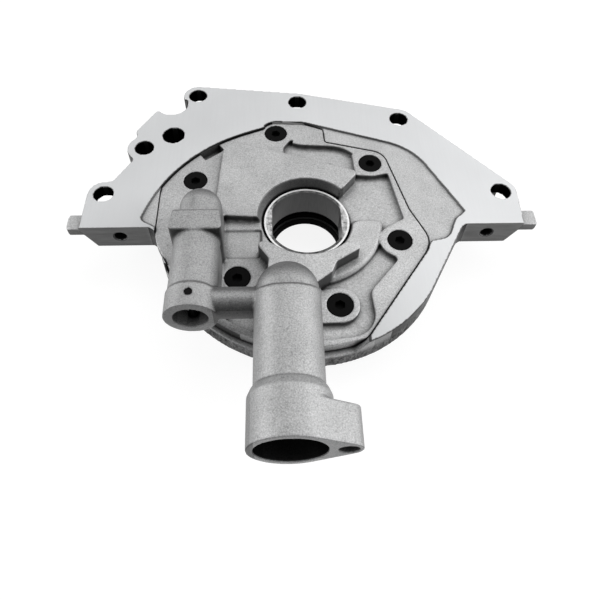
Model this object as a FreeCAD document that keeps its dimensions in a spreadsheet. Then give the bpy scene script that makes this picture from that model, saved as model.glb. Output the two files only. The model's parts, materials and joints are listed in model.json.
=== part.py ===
import FreeCAD, Part
import math
import os

import Sketcher

# Engine oil pump, millimetres.
# Origin: the crank axis on the block-mounting face. +Z points at the engine block,
# +Y away from the inlet mouth. The pump lies on its front, the crank seal side.

DOC = FreeCAD.newDocument("engine_oil_pump")
SHEET = DOC.addObject("Spreadsheet::Sheet", "Sizes")

SIZES = {
    # Body casting
    "flange_thickness": 13.5,
    "seat_depth": 6.0,
    "cast_relief_depth": 1.0,
    "rim_radius": 65.3,
    "rim_right_radius": 59.5,
    "rim_ramp_x": 16.0,
    "rim_ramp_length": 7.0,
    "rim_ramp_inner_y": -52.0,
    "flange_boss_radius": 7.6,
    "sump_face_y": -4.0,
    "sump_left_x": -100.0,
    "sump_right_x": 97.2,
    "sump_inner_left_x": -71.0,
    "sump_inner_right_x": 72.5,
    "tab_length": 6.5,
    "tab_width": 8.5,
    "tab_thickness": 4.0,
    "tab_drop": 3.0,
    "drum_radius": 46.0,
    "drum_depth": 24.0,
    "seal_boss_radius": 29.0,
    "seal_boss_depth": 28.0,
    "rib_thickness": 4.5,
    "rib_depth": 20.5,
    "front_opening_radius": 19.6,
    "flange_hole_radius": 4.5,
    "spot_face_radius": 8.5,
    "lug_thickness": 7.5,
    "end_lug_thickness": 6.5,
    "end_bevel_drop": 3.0,
    "end_bevel_angle": 26.8,
    "deep_boss_radius": 8.2,
    "deep_boss_depth": 25.0,
    "outlet_port_radius": 5.3,
    "outlet_port_depth": 19.5,
    "gallery_radius": 4.0,
    "gallery_drop": 16.5,
    "gallery_wall": 3.6,
    "plug_inset": 7.0,
    "plug_length": 5.0,
    "plug_dish_depth": 2.5,
    "plug_wall": 1.0,
    "sump_hole_radius": 2.55,
    "sump_hole_depth": 12.0,
    "sump_hole_chamfer": 0.55,
    "sump_hole_left_x": -83.1,
    "sump_hole_right_x": 81.8,
    "screw_boss_radius": 6.4,
    "screw_boss_depth": 19.0,
    # Hole places on the mounting face
    "hole_a_x": -53.8, "hole_a_y": 82.2,
    "hole_b_x": -2.2, "hole_b_y": 77.0,
    "hole_c_x": -63.8, "hole_c_y": 53.2,
    "hole_d_x": -77.1, "hole_d_y": 44.6,
    "hole_e_x": -92.1, "hole_e_y": 15.5,
    "hole_f_x": 49.1, "hole_f_y": 63.9,
    "hole_g_x": 90.8, "hole_g_y": 14.9,
    # Cover screws, M6 countersunk
    "screw_one_x": -13.5, "screw_one_y": 55.3,
    "screw_two_x": -51.2, "screw_two_y": 24.3,
    "screw_three_x": 31.7, "screw_three_y": 34.5,
    "screw_four_x": 40.4, "screw_four_y": -11.6,
    "screw_five_x": 11.9, "screw_five_y": -43.7,
    "screw_six_x": -30.1, "screw_six_y": -30.0,
    "thread_radius": 3.0,
    "screw_clearance": 0.3,
    "screw_head_radius": 5.2,
    "screw_head_lip": 0.6,
    "screw_head_recess": 0.25,
    "screw_length": 15.0,
    "screw_socket_width": 4.0,
    "screw_socket_depth": 2.2,
    # Gerotor set
    "inner_lobes": 8,
    "eccentricity": 3.2,
    "eccentric_angle": 105.0,
    "tooth_circle_radius": 36.0,
    "tooth_radius": 8.6,
    "rotor_wall": 4.0,
    "rotor_thickness": 10.0,
    "rotor_end_clearance": 0.05,
    "rotor_radial_clearance": 0.08,
    "mesh_clearance": 0.1,
    "root_clearance": 0.12,
    "hub_radius": 19.1,
    "hub_drop": 2.2,
    "crank_bore_radius": 17.0,
    "crank_flat_distance": 15.5,
    "port_depth": 3.0,
    "port_sweep": 135.0,
    "port_land": 20.0,
    "cover_port_depth": 1.8,
    "cover_delivery_depth": 4.0,
    "link_radius": 3.2,
    "suction_link_radius": 4.0,
    "port_inner_radius": 25.0,
    "port_outer_radius": 33.2,
    # Crank seal
    "seal_outer_radius": 23.0,
    "seal_width": 7.5,
    "seal_case_wall": 1.0,
    "seal_case_flange": 3.2,
    "seal_lip_radius": 15.4,
    "garter_radius": 0.6,
    "garter_out": 0.52,
    "garter_height": 6.3,
    "fit_gap": 0.04,
    # Cover casting
    "cover_gap": 0.25,
    "rim_drop": 1.2,
    "low_floor_drop": 4.0,
    "left_floor_drop": 2.0,
    "plateau_rise": 2.5,
    "collar_rise": 6.0,
    "volute_drop": 1.0,
    "volute_radius": 33.8,
    "volute_edge": 1.4,
    "cover_bottom_radius": 62.5,
    "cover_arc_radius": 75.3,
    "cover_arc_y": -15.0,
    "hub_recess_radius": 20.2,
    "hub_recess_drop": 4.2,
    "hub_recess_mouth_radius": 23.4,
    "hub_recess_straight": 2.4,
    "screw_pad_radius": 7.6,
    "notch_angle": 127.6,
    "notch_length": 11.0,
    "notch_width": 5.0,
    # Inlet tube along -Y
    "inlet_x": -9.6,
    "inlet_height": 15.5,
    "inlet_mouth_y": -107.0,
    "inlet_radius": 12.6,
    "inlet_passage_radius": 9.6,
    "inlet_passage_end_y": -52.0,
    "inlet_socket_radius": 12.2,
    "inlet_socket_depth": 18.0,
    "sleeve_radius": 14.7,
    "sleeve_length": 20.5,
    "sleeve_step": 0.8,
    "sleeve_taper": 3.0,
    "elbow_y": -48.2,
    "elbow_radius": 12.2,
    "elbow_lean": 14.3,
    "duct_y": -46.0,
    "duct_length": 4.5,
    "duct_radius": 7.0,
    "duct_top": 12.0,
    "ear_x": 9.2,
    "ear_height": 15.5,
    "ear_radius": 4.9,
    "ear_length": 14.0,
    "ear_hole_radius": 3.4,
    "ear_hole_depth": 12.5,
    # Relief valve along -Y
    "relief_x": -45.6,
    "relief_height": 13.0,
    "relief_mouth_y": -57.0,
    "relief_bore_radius": 6.5,
    "relief_shoulder_y": -14.0,
    "relief_feed_radius": 4.5,
    "relief_radius": 9.4,
    "relief_collar_radius": 10.3,
    "relief_collar_length": 10.5,
    "relief_block_width": 21.0,
    "relief_block_front_y": -22.4,
    "relief_block_back_y": -12.6,
    "relief_block_top": 22.8,
    "relief_dome_y": -2.5,
    "relief_dome_height": 10.0,
    "relief_dome_radius": 9.0,
    "cross_tube_y": -51.0,
    "cross_tube_height": 14.0,
    "cross_tube_radius": 6.0,
    "cross_passage_radius": 2.6,
    "plunger_clearance": 0.06,
    "plunger_length": 15.0,
    "plunger_wall": 1.5,
    "plunger_crown": 3.5,
    "spring_wire_radius": 0.65,
    "spring_turns": 7,
    "spring_side_gap": 0.35,
    "seat_washer_thickness": 2.5,
    "seat_hole_radius": 1.6,
    "seat_spigot_length": 1.5,
    "pin_radius": 1.25,
    "pin_inset": 5.8,
    "pin_below_surface": 0.4,
    # Dowels between cover and body
    "dowel_one_x": -56.5, "dowel_one_y": -11.0,
    "dowel_two_x": 42.0, "dowel_two_y": -24.5,
    "dowel_radius": 2.5,
    "dowel_length": 9.0,
    "dowel_in_cover": 2.6,
}

for row, (alias, value) in enumerate(SIZES.items(), start=1):
    SHEET.set("A%d" % row, alias.replace("_", " "))
    SHEET.set("B%d" % row, str(value))
    SHEET.setAlias("B%d" % row, alias)
DOC.recompute()


def size(alias):
    return float(SHEET.get(alias))


def spot(name):
    return (size(name + "_x"), size(name + "_y"))


SCREWS = ["screw_one", "screw_two", "screw_three", "screw_four", "screw_five", "screw_six"]
THROUGH_HOLES = ["hole_a", "hole_b", "hole_e", "hole_f", "hole_g"]
LUGS = {"lug_thickness": ["hole_a", "hole_b", "hole_f"],
        "end_lug_thickness": ["hole_e", "hole_g"]}
DOWELS = ["dowel_one", "dowel_two"]
WIRE_SIDES = 6
PROFILE_STEPS_PER_LOBE = 24
OUTER_TEETH = int(size("inner_lobes")) + 1


# Outlines: a belt round circles. Each entry is x, y and a radius; a positive radius is
# an outside corner, a negative one an inside corner, and zero a sharp point.
def belt_tangent(first, second):
    x1, y1, r1 = first
    x2, y2, r2 = second
    reach = math.hypot(x2 - x1, y2 - y1)
    straight = math.sqrt(max(reach ** 2 - (r2 - r1) ** 2, 0.0))
    if straight < 1e-3:
        straight = 0.0
    heading = math.atan2(y2 - y1, x2 - x1) - math.atan2(r2 - r1, straight)
    left = (-math.sin(heading), math.cos(heading))
    start = (x1 - r1 * left[0], y1 - r1 * left[1])
    end = (x2 - r2 * left[0], y2 - r2 * left[1])
    return start, end


def belt_edges(circles, place=None):
    """Lines and arcs of a counter-clockwise belt, each as a Part curve."""
    at = place or (lambda x, y: FreeCAD.Vector(x, y, 0))
    count = len(circles)
    tangents = [belt_tangent(circles[i], circles[(i + 1) % count]) for i in range(count)]
    curves = []
    for i, (x, y, r) in enumerate(circles):
        arrive = tangents[i - 1][1]
        leave = tangents[i][0]
        if abs(r) > 1e-9:
            a1 = math.atan2(arrive[1] - y, arrive[0] - x)
            a2 = math.atan2(leave[1] - y, leave[0] - x)
            turn = (a2 - a1) % (2 * math.pi) if r > 0 else -((a1 - a2) % (2 * math.pi))
            if 1e-4 < abs(turn) < 2 * math.pi - 1e-4:
                middle = (x + abs(r) * math.cos(a1 + turn / 2), y + abs(r) * math.sin(a1 + turn / 2))
                curves.append(Part.Arc(at(*arrive), at(*middle), at(*leave)))
        end = tangents[i][1]
        if math.hypot(end[0] - leave[0], end[1] - leave[1]) > 1e-6:
            curves.append(Part.LineSegment(at(*leave), at(*end)))
    return curves


# PartDesign helpers
def new_body(name):
    body = DOC.addObject("PartDesign::Body", name)
    body.Label = name
    return body


def origin_plane(body, role):
    return [f for f in body.Origin.OriginFeatures if f.Role == role][0]


def new_sketch(body, name, plane="XY_Plane", lift=None):
    sketch = body.newObject("Sketcher::SketchObject", name)
    sketch.AttachmentSupport = [(origin_plane(body, plane), "")]
    sketch.MapMode = "FlatFace"
    if lift:
        sketch.setExpression("AttachmentOffset.Base.z", lift)
    return sketch


def belt_sketch(body, name, circles, plane="XY_Plane", lift=None):
    sketch = new_sketch(body, name, plane, lift)
    for curve in belt_edges(circles):
        geometry = curve if isinstance(curve, Part.LineSegment) else curve.toShape().Curve
        if isinstance(curve, Part.LineSegment):
            sketch.addGeometry(geometry, False)
        else:
            edge = curve.toShape()
            arc = Part.ArcOfCircle(edge.Curve, edge.FirstParameter, edge.LastParameter)
            sketch.addGeometry(arc, False)
    return sketch


def line_sketch(body, name, points, plane="XY_Plane", lift=None):
    sketch = new_sketch(body, name, plane, lift)
    for i, (x, y) in enumerate(points):
        x2, y2 = points[(i + 1) % len(points)]
        sketch.addGeometry(Part.LineSegment(FreeCAD.Vector(x, y, 0),
                                            FreeCAD.Vector(x2, y2, 0)), False)
    return sketch


def circle_sketch(body, name, rings, plane="XY_Plane", lift=None):
    """Circles whose centres and radii are bound to the sheet: (x, y, radius) expressions."""
    sketch = new_sketch(body, name, plane, lift)
    for x, y, radius in rings:
        centre = FreeCAD.Vector(0.5, 0.5, 0)
        index = sketch.addGeometry(Part.Circle(centre, FreeCAD.Vector(0, 0, 1), 1.0), False)
        for kind, cell in (("DistanceX", x), ("DistanceY", y)):
            if cell is None:
                other = "Vertical" if kind == "DistanceX" else "Horizontal"
                sketch.addConstraint(Sketcher.Constraint(other, -1, 1, index, 3))
            else:
                number = sketch.addConstraint(Sketcher.Constraint(kind, -1, 1, index, 3, 0.5))
                sketch.setExpression("Constraints[%d]" % number, cell)
        number = sketch.addConstraint(Sketcher.Constraint("Radius", index, 1.0))
        sketch.setExpression("Constraints[%d]" % number, radius)
    return sketch


def at_cells(name):
    return "Sizes.%s_x" % name, "Sizes.%s_y" % name


def pad(body, name, sketch, length, up=True):
    feature = body.newObject("PartDesign::Pad", name)
    feature.Profile = sketch
    feature.Reversed = not up
    feature.setExpression("Length", length)
    return feature


def pocket(body, name, sketch, depth, down=True):
    feature = body.newObject("PartDesign::Pocket", name)
    feature.Profile = sketch
    feature.Reversed = not down
    feature.setExpression("Length", depth)
    return feature


def revolve(body, name, points, axis_sketch_plane, axis, groove=False):
    """A full turn of a closed outline of straight lines about a sketch axis."""
    sketch = line_sketch(body, name + "_sketch", points, axis_sketch_plane)
    kind = "PartDesign::Groove" if groove else "PartDesign::Revolution"
    feature = body.newObject(kind, name)
    feature.Profile = sketch
    feature.ReferenceAxis = (sketch, [axis])
    feature.Angle = 360
    return feature


# Outlines on the mounting face
def flange_outline():
    boss = size("flange_boss_radius")
    rim = size("rim_radius")
    y_sump = size("sump_face_y")
    ax, ay = spot("hole_a")
    bx, by = spot("hole_b")
    dx, dy = spot("hole_d")
    ex, ey = spot("hole_e")
    fx, fy = spot("hole_f")
    gx, gy = spot("hole_g")
    bite = 8.0
    corner = 5.0
    return [
        (size("sump_right_x"), y_sump, 0.0),
        (gx, gy, boss),
        (fx, fy, boss),
        (bx, by, boss - 0.6),
        (ax, ay, boss - 0.2),
        (ax - 12.7, ay - 6.2, -bite),
        (ax - 19.4, ay - 12.4, 1.2),
        (dx - 4.4, dy + 11.4, 1.0),
        (dx - 6.6, dy + 8.3, -2.0),
        (dx, dy, boss - 0.4),
        (dx - 6.1, dy - 7.9, -1.5),
        (ex + 1.7, ey + 9.6, -2.0),
        (ex, ey, boss - 0.2),
        (size("sump_left_x"), y_sump, 0.0),
        (size("sump_inner_left_x"), y_sump - corner, -corner),
        (0.0, 0.0, rim),
        (0.0, size("rim_right_radius") - rim, size("rim_right_radius")),
        (size("sump_inner_right_x"), y_sump - corner, -corner),
    ]


def relief_outline():
    """The cast face just below the machined one, inside the machined band."""
    x1, y1 = spot("screw_one")
    return [
        (55.2, -14.3, -1.5),
        (58.0, -6.0, 6.0),
        (71.2, -4.6, -5.6),
        (71.1, 3.7, 0.6),
        (31.2, 19.6, 30.0),
        (-2.0, 50.0, 12.2),
        (x1, y1, 7.3),
        (x1 - 8.0, y1 + 5.6, -3.0),
        (0.0, size("cover_arc_y"), size("cover_arc_radius")),
        (-71.0, 1.7, 2.6),
        (-66.0, -4.2, 0.0),
        (-50.0, -12.0, 0.0),
        (40.0, -30.0, 0.0),
    ]


def cover_outline(grow=0.0):
    x1, y1 = spot("screw_one")
    x3, y3 = spot("screw_three")
    x4, y4 = spot("screw_four")
    outline = [
        (x4, y4, 12.6),
        (49.6, 6.6, -3.0),
        (x3, y3, 8.3),
        (12.6, 50.6, -2.2),
        (9.2, 57.0, 1.0),
        (-2.0, 49.8, 12.0),
        (x1, y1, 7.1),
        (x1 - 8.0, y1 + 5.6, -3.2),
        (0.0, size("cover_arc_y"), size("cover_arc_radius") - 0.2),
        (-63.6, 17.6, 3.0),
        (-46.0, -5.0, 20.6),
        (-1.0, 0.0, size("cover_bottom_radius")),
        (19.0, -54.3, 5.0),
    ]
    return [(x, y, r + grow) for x, y, r in outline]


def ledge_outline():
    """Where the body's edge drops to the cover seat, round the bottom of the rim."""
    reach = size("rim_radius") + 8.0
    return [
        (-59.3, -22.5, 0.0),
        (-40.0, -10.0, 0.0),
        (size("rim_ramp_x"), -50.0, 0.0),
        (size("rim_ramp_x"), -reach, 0.0),
        (-20.0, -reach - 4.0, 0.0),
        (-reach, -34.0, 0.0),
    ]


# Body casting
def make_body():
    body = new_body("pump_body")
    pad(body, "flange", belt_sketch(body, "flange_outline", flange_outline()),
        "Sizes.flange_thickness", up=False)
    pad(body, "drum", circle_sketch(body, "drum_circle", [(None, None, "Sizes.drum_radius")]),
        "Sizes.drum_depth", up=False)
    pad(body, "seal_boss",
        circle_sketch(body, "seal_boss_circle", [(None, None, "Sizes.seal_boss_radius")]),
        "Sizes.seal_boss_depth", up=False)
    bosses = [at_cells(name) + ("Sizes.screw_boss_radius",) for name in SCREWS]
    pad(body, "screw_bosses", circle_sketch(body, "screw_boss_circles", bosses),
        "Sizes.screw_boss_depth", up=False)
    deep = [at_cells("hole_d") + ("Sizes.deep_boss_radius",)]
    pad(body, "deep_boss", circle_sketch(body, "deep_boss_circle", deep),
        "Sizes.deep_boss_depth", up=False)
    port = [at_cells("hole_c") + ("Sizes.outlet_port_radius + Sizes.gallery_wall",)]
    pad(body, "port_boss", circle_sketch(body, "port_boss_circle", port),
        "Sizes.deep_boss_depth", up=False)
    make_front_ribs(body)
    make_end_bevels(body)
    make_side_tabs(body)
    add_gallery(body, "PartDesign::AdditiveCylinder", "gallery_casting",
                size("gallery_radius") + size("gallery_wall"), -1.5)

    pocket(body, "cast_relief", belt_sketch(body, "cast_relief_outline", relief_outline()),
           "Sizes.cast_relief_depth")
    seat = belt_sketch(body, "cover_seat_outline", cover_outline(size("cover_gap")))
    pocket(body, "cover_seat", seat, "Sizes.seat_depth")
    pocket(body, "rim_ledge", belt_sketch(body, "rim_ledge_outline", ledge_outline()),
           "Sizes.seat_depth")
    make_rim_ramp(body)
    make_chamber(body)
    make_seal_bore(body)
    make_body_holes(body)
    add_gallery(body, "PartDesign::SubtractiveCylinder", "gallery_drilling",
                size("gallery_radius"), 1.0)
    DOC.recompute()
    return body


def make_front_ribs(body):
    """Ribs on the front, from the drum out towards the flange holes."""
    half = size("rib_thickness") / 2
    for number, name in enumerate(THROUGH_HOLES, start=1):
        x, y = spot(name)
        reach = math.hypot(x, y)
        short = (reach - size("flange_hole_radius") - size("rib_thickness") * 1.5) / reach
        sketch = belt_sketch(body, "rib_outline_%d" % number,
                             [(0, 0, half), (x * short, y * short, half)])
        pad(body, "rib_%d" % number, sketch, "Sizes.rib_depth", up=False)


def make_end_bevels(body):
    """Both ends of the flange slope inwards below the mounting face."""
    drop = size("end_bevel_drop")
    low = size("flange_thickness") + 1.0
    run = (low - drop) * math.tan(math.radians(size("end_bevel_angle")))
    outside = 15.0
    left, right = size("sump_left_x"), size("sump_right_x")
    corners = {
        "left": [(left, -drop), (left - outside, -drop), (left - outside, -low),
                 (left + run, -low)],
        "right": [(right, -drop), (right - run, -low), (right + outside, -low),
                  (right + outside, -drop)],
    }
    for side, points in corners.items():
        sketch = line_sketch(body, "end_bevel_outline_" + side, points, "XZ_Plane",
                             "-Sizes.sump_face_y + 1")
        pocket(body, "end_bevel_" + side, sketch, "Sizes.hole_g_y - Sizes.spot_face_radius + 2")


def make_rim_ramp(body):
    """The mounting face runs down to the cover seat along a short ramp on the rim."""
    start, seat = size("rim_ramp_x"), -size("seat_depth")
    end = start + size("rim_ramp_length")
    sketch = line_sketch(body, "rim_ramp_outline",
                         [(start - 0.5, seat), (start, seat), (end, 0.0), (end, 1.0),
                          (start - 0.5, 1.0)],
                         "XZ_Plane", "Sizes.rim_radius + 5")
    pocket(body, "rim_ramp", sketch, "Sizes.rim_radius + 5 + Sizes.rim_ramp_inner_y")


def make_side_tabs(body):
    """Small cast lugs at both ends of the flange, beside the sump faces."""
    low = size("sump_face_y") + 1.4
    high = low + size("tab_width")
    ends = [(size("sump_left_x") + 3.0, -size("tab_length")),
            (size("sump_right_x") - 2.0, size("tab_length"))]
    for number, (x, reach) in enumerate(ends, start=1):
        tip = x + reach + math.copysign(3.0, reach)
        left, right = sorted((x, tip))
        corners = [(left + 1.5, low + 1.5, 1.5), (right - 1.5, low + 1.5, 1.5),
                   (right - 1.5, high - 1.5, 1.5), (left + 1.5, high - 1.5, 1.5)]
        sketch = belt_sketch(body, "side_tab_outline_%d" % number, corners,
                             lift="-Sizes.tab_drop")
        pad(body, "side_tab_%d" % number, sketch, "Sizes.tab_thickness", up=False)


def eccentric_centre():
    angle = math.radians(size("eccentric_angle"))
    return (size("eccentricity") * math.cos(angle), size("eccentricity") * math.sin(angle))


ECCENTRIC = ("Sizes.eccentricity * cos(Sizes.eccentric_angle * 1 deg)",
             "Sizes.eccentricity * sin(Sizes.eccentric_angle * 1 deg)")


def root_radius():
    tip = size("tooth_circle_radius") - size("tooth_radius")
    return tip + 2 * size("eccentricity") + size("root_clearance")


def rotor_outer_radius():
    return root_radius() + size("rotor_wall")


def kidney(start, end, inner, outer):
    """An arc-shaped port with round ends, as a belt about the crank axis."""
    middle = (inner + outer) / 2
    half = (outer - inner) / 2
    points = []
    for angle in (start, end):
        a = math.radians(angle)
        points.append((middle * math.cos(a), middle * math.sin(a), half))
    return [(0, 0, outer), points[1], (0, 0, -inner), points[0]]


def make_chamber(body):
    chamber = circle_sketch(
        body, "chamber_circle",
        [ECCENTRIC + ("%f + Sizes.rotor_radial_clearance" % rotor_outer_radius(),)],
        lift="-Sizes.seat_depth + 0.5")
    depth = "Sizes.rotor_thickness + 2 * Sizes.rotor_end_clearance + 0.5"
    pocket(body, "rotor_chamber", chamber, depth)
    floor = "-Sizes.seat_depth - Sizes.rotor_thickness - 2 * Sizes.rotor_end_clearance"
    low, high = size("port_inner_radius"), size("port_outer_radius")
    middle = size("eccentric_angle")
    sweep, land = size("port_sweep"), size("port_land")
    for name, start in (("suction_port", middle - land - sweep), ("delivery_port", middle + land)):
        sketch = belt_sketch(body, name + "_outline", kidney(start, start + sweep, low, high),
                             lift=floor)
        pocket(body, name, sketch, "Sizes.port_depth")


def make_seal_bore(body):
    opening = circle_sketch(body, "front_opening_circle",
                            [(None, None, "Sizes.front_opening_radius")])
    pocket(body, "front_opening", opening, "Sizes.seal_boss_depth + 1")
    seal = circle_sketch(body, "seal_bore_circle", [(None, None, "Sizes.seal_outer_radius")],
                         lift="-Sizes.seal_boss_depth")
    pocket(body, "seal_bore", seal, "Sizes.seal_width + 0.5", down=False)


def make_body_holes(body):
    rings = [at_cells(name) + ("Sizes.flange_hole_radius",) for name in THROUGH_HOLES]
    pocket(body, "flange_holes", circle_sketch(body, "flange_hole_circles", rings),
           "Sizes.rib_depth + 1")
    for name, holes in LUGS.items():
        faces = [at_cells(hole) + ("Sizes.spot_face_radius",) for hole in holes]
        sketch = circle_sketch(body, name + "_spot_face_circles", faces, lift="-Sizes." + name)
        pocket(body, name + "_spot_faces", sketch, "Sizes.rib_depth")
    deep = [at_cells("hole_d") + ("Sizes.flange_hole_radius",)]
    pocket(body, "deep_hole", circle_sketch(body, "deep_hole_circle", deep),
           "Sizes.deep_boss_depth + 1")
    port = [at_cells("hole_c") + ("Sizes.outlet_port_radius",)]
    pocket(body, "outlet_port", circle_sketch(body, "outlet_port_circle", port),
           "Sizes.outlet_port_depth")
    threads = [at_cells(name) + ("Sizes.thread_radius",) for name in SCREWS]
    pocket(body, "screw_threads", circle_sketch(body, "screw_thread_circles", threads),
           "Sizes.screw_length + Sizes.rim_drop + 0.5")
    dowels = [at_cells(name) + ("Sizes.dowel_radius + Sizes.fit_gap",) for name in DOWELS]
    deep = "Sizes.seat_depth + Sizes.dowel_length - Sizes.dowel_in_cover + 0.3"
    pocket(body, "dowel_holes", circle_sketch(body, "dowel_hole_circles", dowels), deep)
    middle = "-Sizes.flange_thickness / 2"
    for side in ("left", "right"):
        ring = ("Sizes.sump_hole_%s_x" % side, middle, "Sizes.sump_hole_radius")
        lift = "-Sizes.sump_face_y + 1"
        sketch = circle_sketch(body, "sump_hole_%s_circle" % side, [ring], "XZ_Plane", lift)
        pocket(body, "sump_hole_" + side, sketch, "Sizes.sump_hole_depth + 1")
        face, bore = size("sump_face_y"), size("sump_hole_radius")
        bevel = size("sump_hole_chamfer")
        cone = [(0, face - bevel), (bore + 2 * bevel, face - bevel), (bore, face + bevel),
                (0, face + bevel)]
        turned_along_y(body, "sump_bevel_" + side, cone, size("sump_hole_%s_x" % side),
                       -size("flange_thickness") / 2, groove=True)


def gallery_run():
    """Start at the flange edge, end at the rotor chamber, along one straight drilling."""
    cx, cy = spot("hole_c")
    ex, ey = eccentric_centre()
    reach = math.hypot(cx - ex, cy - ey)
    ux, uy = (cx - ex) / reach, (cy - ey) / reach
    outer = (cx + 12.5 * ux, cy + 12.5 * uy)
    inner = (ex + (rotor_outer_radius() - 3.0) * ux, ey + (rotor_outer_radius() - 3.0) * uy)
    return outer, inner, (ux, uy)


def add_gallery(body, kind, name, radius, extra):
    """The gallery's round casting, or its drilling, between the two ends of its run."""
    outer, inner, (ux, uy) = gallery_run()
    length = math.hypot(outer[0] - inner[0], outer[1] - inner[1])
    spin = FreeCAD.Rotation(FreeCAD.Vector(0, 0, 1), math.degrees(math.atan2(uy, ux)))
    tip = FreeCAD.Rotation(FreeCAD.Vector(0, 1, 0), 90)
    tool = body.newObject(kind, name)
    tool.Radius = radius
    tool.Height = length + extra
    base = FreeCAD.Vector(inner[0], inner[1], -size("gallery_drop"))
    tool.Placement = FreeCAD.Placement(base, spin * tip)


# Cover casting
def plateau_outline():
    return [
        (-39.0, 2.6, 2.0),
        (-21.5, 1.2, 2.0),
        (0.0, 2.0, 0.0),
        (15.5, 14.0, 0.0),
        (21.6, 25.0, 2.2),
        (-32.5, 39.6, 6.2),
    ]


def low_floor_outline():
    x3, y3 = spot("screw_three")
    x4, y4 = spot("screw_four")
    pad_radius = size("screw_pad_radius")
    inner = size("cover_bottom_radius") - 3.0
    return [
        (-1.0, 0.0, inner),
        (15.0, -47.4, 10.8),
        (31.2, -39.4, -6.0),
        (36.8, -21.5, 1.4),
        (x4, y4, -pad_radius - 1.2),
        (42.2, 1.3, 1.5),
        (39.0, 27.0, 0.8),
        (x3, y3, -8.2),
        (23.0, 27.0, 0.0),
        (0.0, 10.0, 0.0),
        (-4.0, -36.0, 0.0),
        (-30.0, -42.0, 4.0),
    ]


def arc_recess_outline():
    return [
        (-9.6, 36.5, 0.0),
        (24.2, 25.0, 0.0),
        (22.0, 39.0, 1.6),
        (12.0, 30.0, 16.4),
        (1.0, 60.0, -12.8),
        (-5.6, 48.6, 1.9),
        (-8.3, 45.0, 1.6),
    ]


def left_floor_outline():
    return [(-38.0, -20.3, 0.0), (-20.0, -20.3, 0.0), (-20.0, -5.2, 0.0), (-38.0, -5.2, 0.0)]


def collar_outline():
    return [
        (-19.8, -18.2, 1.6),
        (-18.2, -25.6, -1.2),
        (-16.4, -30.4, 1.0),
        (-12.0, -41.0, 0.0),
        (2.0, -37.6, 0.0),
        (8.4, -31.6, 0.8),
        (12.2, -28.2, -1.4),
        (20.4, -20.2, 1.0),
        (19.8, -18.4, 1.6),
        (0.0, 0.0, -size("hub_recess_radius")),
    ]


def volute_outline():
    return [(-4.0, -25.0, 0.0), (0.0, 0.0, size("volute_radius")), (31.0, -2.2, 2.8),
            (22.8, -2.4, 2.8)]


def make_cover():
    body = new_body("pump_cover")
    base = belt_sketch(body, "cover_outline", cover_outline(), lift="-Sizes.seat_depth")
    pad(body, "plate", base, "Sizes.seat_depth - Sizes.rim_drop")
    top = "-Sizes.rim_drop"
    pocket(body, "low_floor", belt_sketch(body, "low_floor_outline", low_floor_outline(),
                                          lift=top),
           "Sizes.low_floor_drop - Sizes.rim_drop")
    pocket(body, "arc_recess", belt_sketch(body, "arc_recess_outline", arc_recess_outline(),
                                           lift=top),
           "Sizes.low_floor_drop - Sizes.rim_drop")
    pocket(body, "left_floor", belt_sketch(body, "left_floor_outline", left_floor_outline(),
                                           lift=top),
           "Sizes.left_floor_drop - Sizes.rim_drop")
    joint = "-Sizes.seat_depth"
    pad(body, "plateau", belt_sketch(body, "plateau_outline", plateau_outline(), lift=joint),
        "Sizes.seat_depth + Sizes.plateau_rise")
    pad(body, "volute", belt_sketch(body, "volute_outline", volute_outline(), lift=joint),
        "Sizes.seat_depth - Sizes.volute_drop - Sizes.volute_edge")
    edge = "-Sizes.volute_drop - Sizes.volute_edge"
    slope = pad(body, "volute_slope",
                belt_sketch(body, "volute_slope_outline", volute_outline(), lift=edge),
                "Sizes.volute_edge")
    slope.TaperAngle = -45
    x5, y5 = spot("screw_five")
    pad_five = [(x5, y5, size("screw_pad_radius") + 0.6), (-4.0, y5 - 1.5, 7.0)]
    pad(body, "screw_five_pad", belt_sketch(body, "screw_five_pad_outline", pad_five,
                                            lift=joint),
        "Sizes.seat_depth - Sizes.rim_drop")
    make_inlet(body)
    pad(body, "collar", belt_sketch(body, "collar_outline", collar_outline(), lift=joint),
        "Sizes.seat_depth + Sizes.collar_rise")
    make_relief_housing(body)
    make_cover_cuts(body)
    DOC.recompute()
    return body


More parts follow.
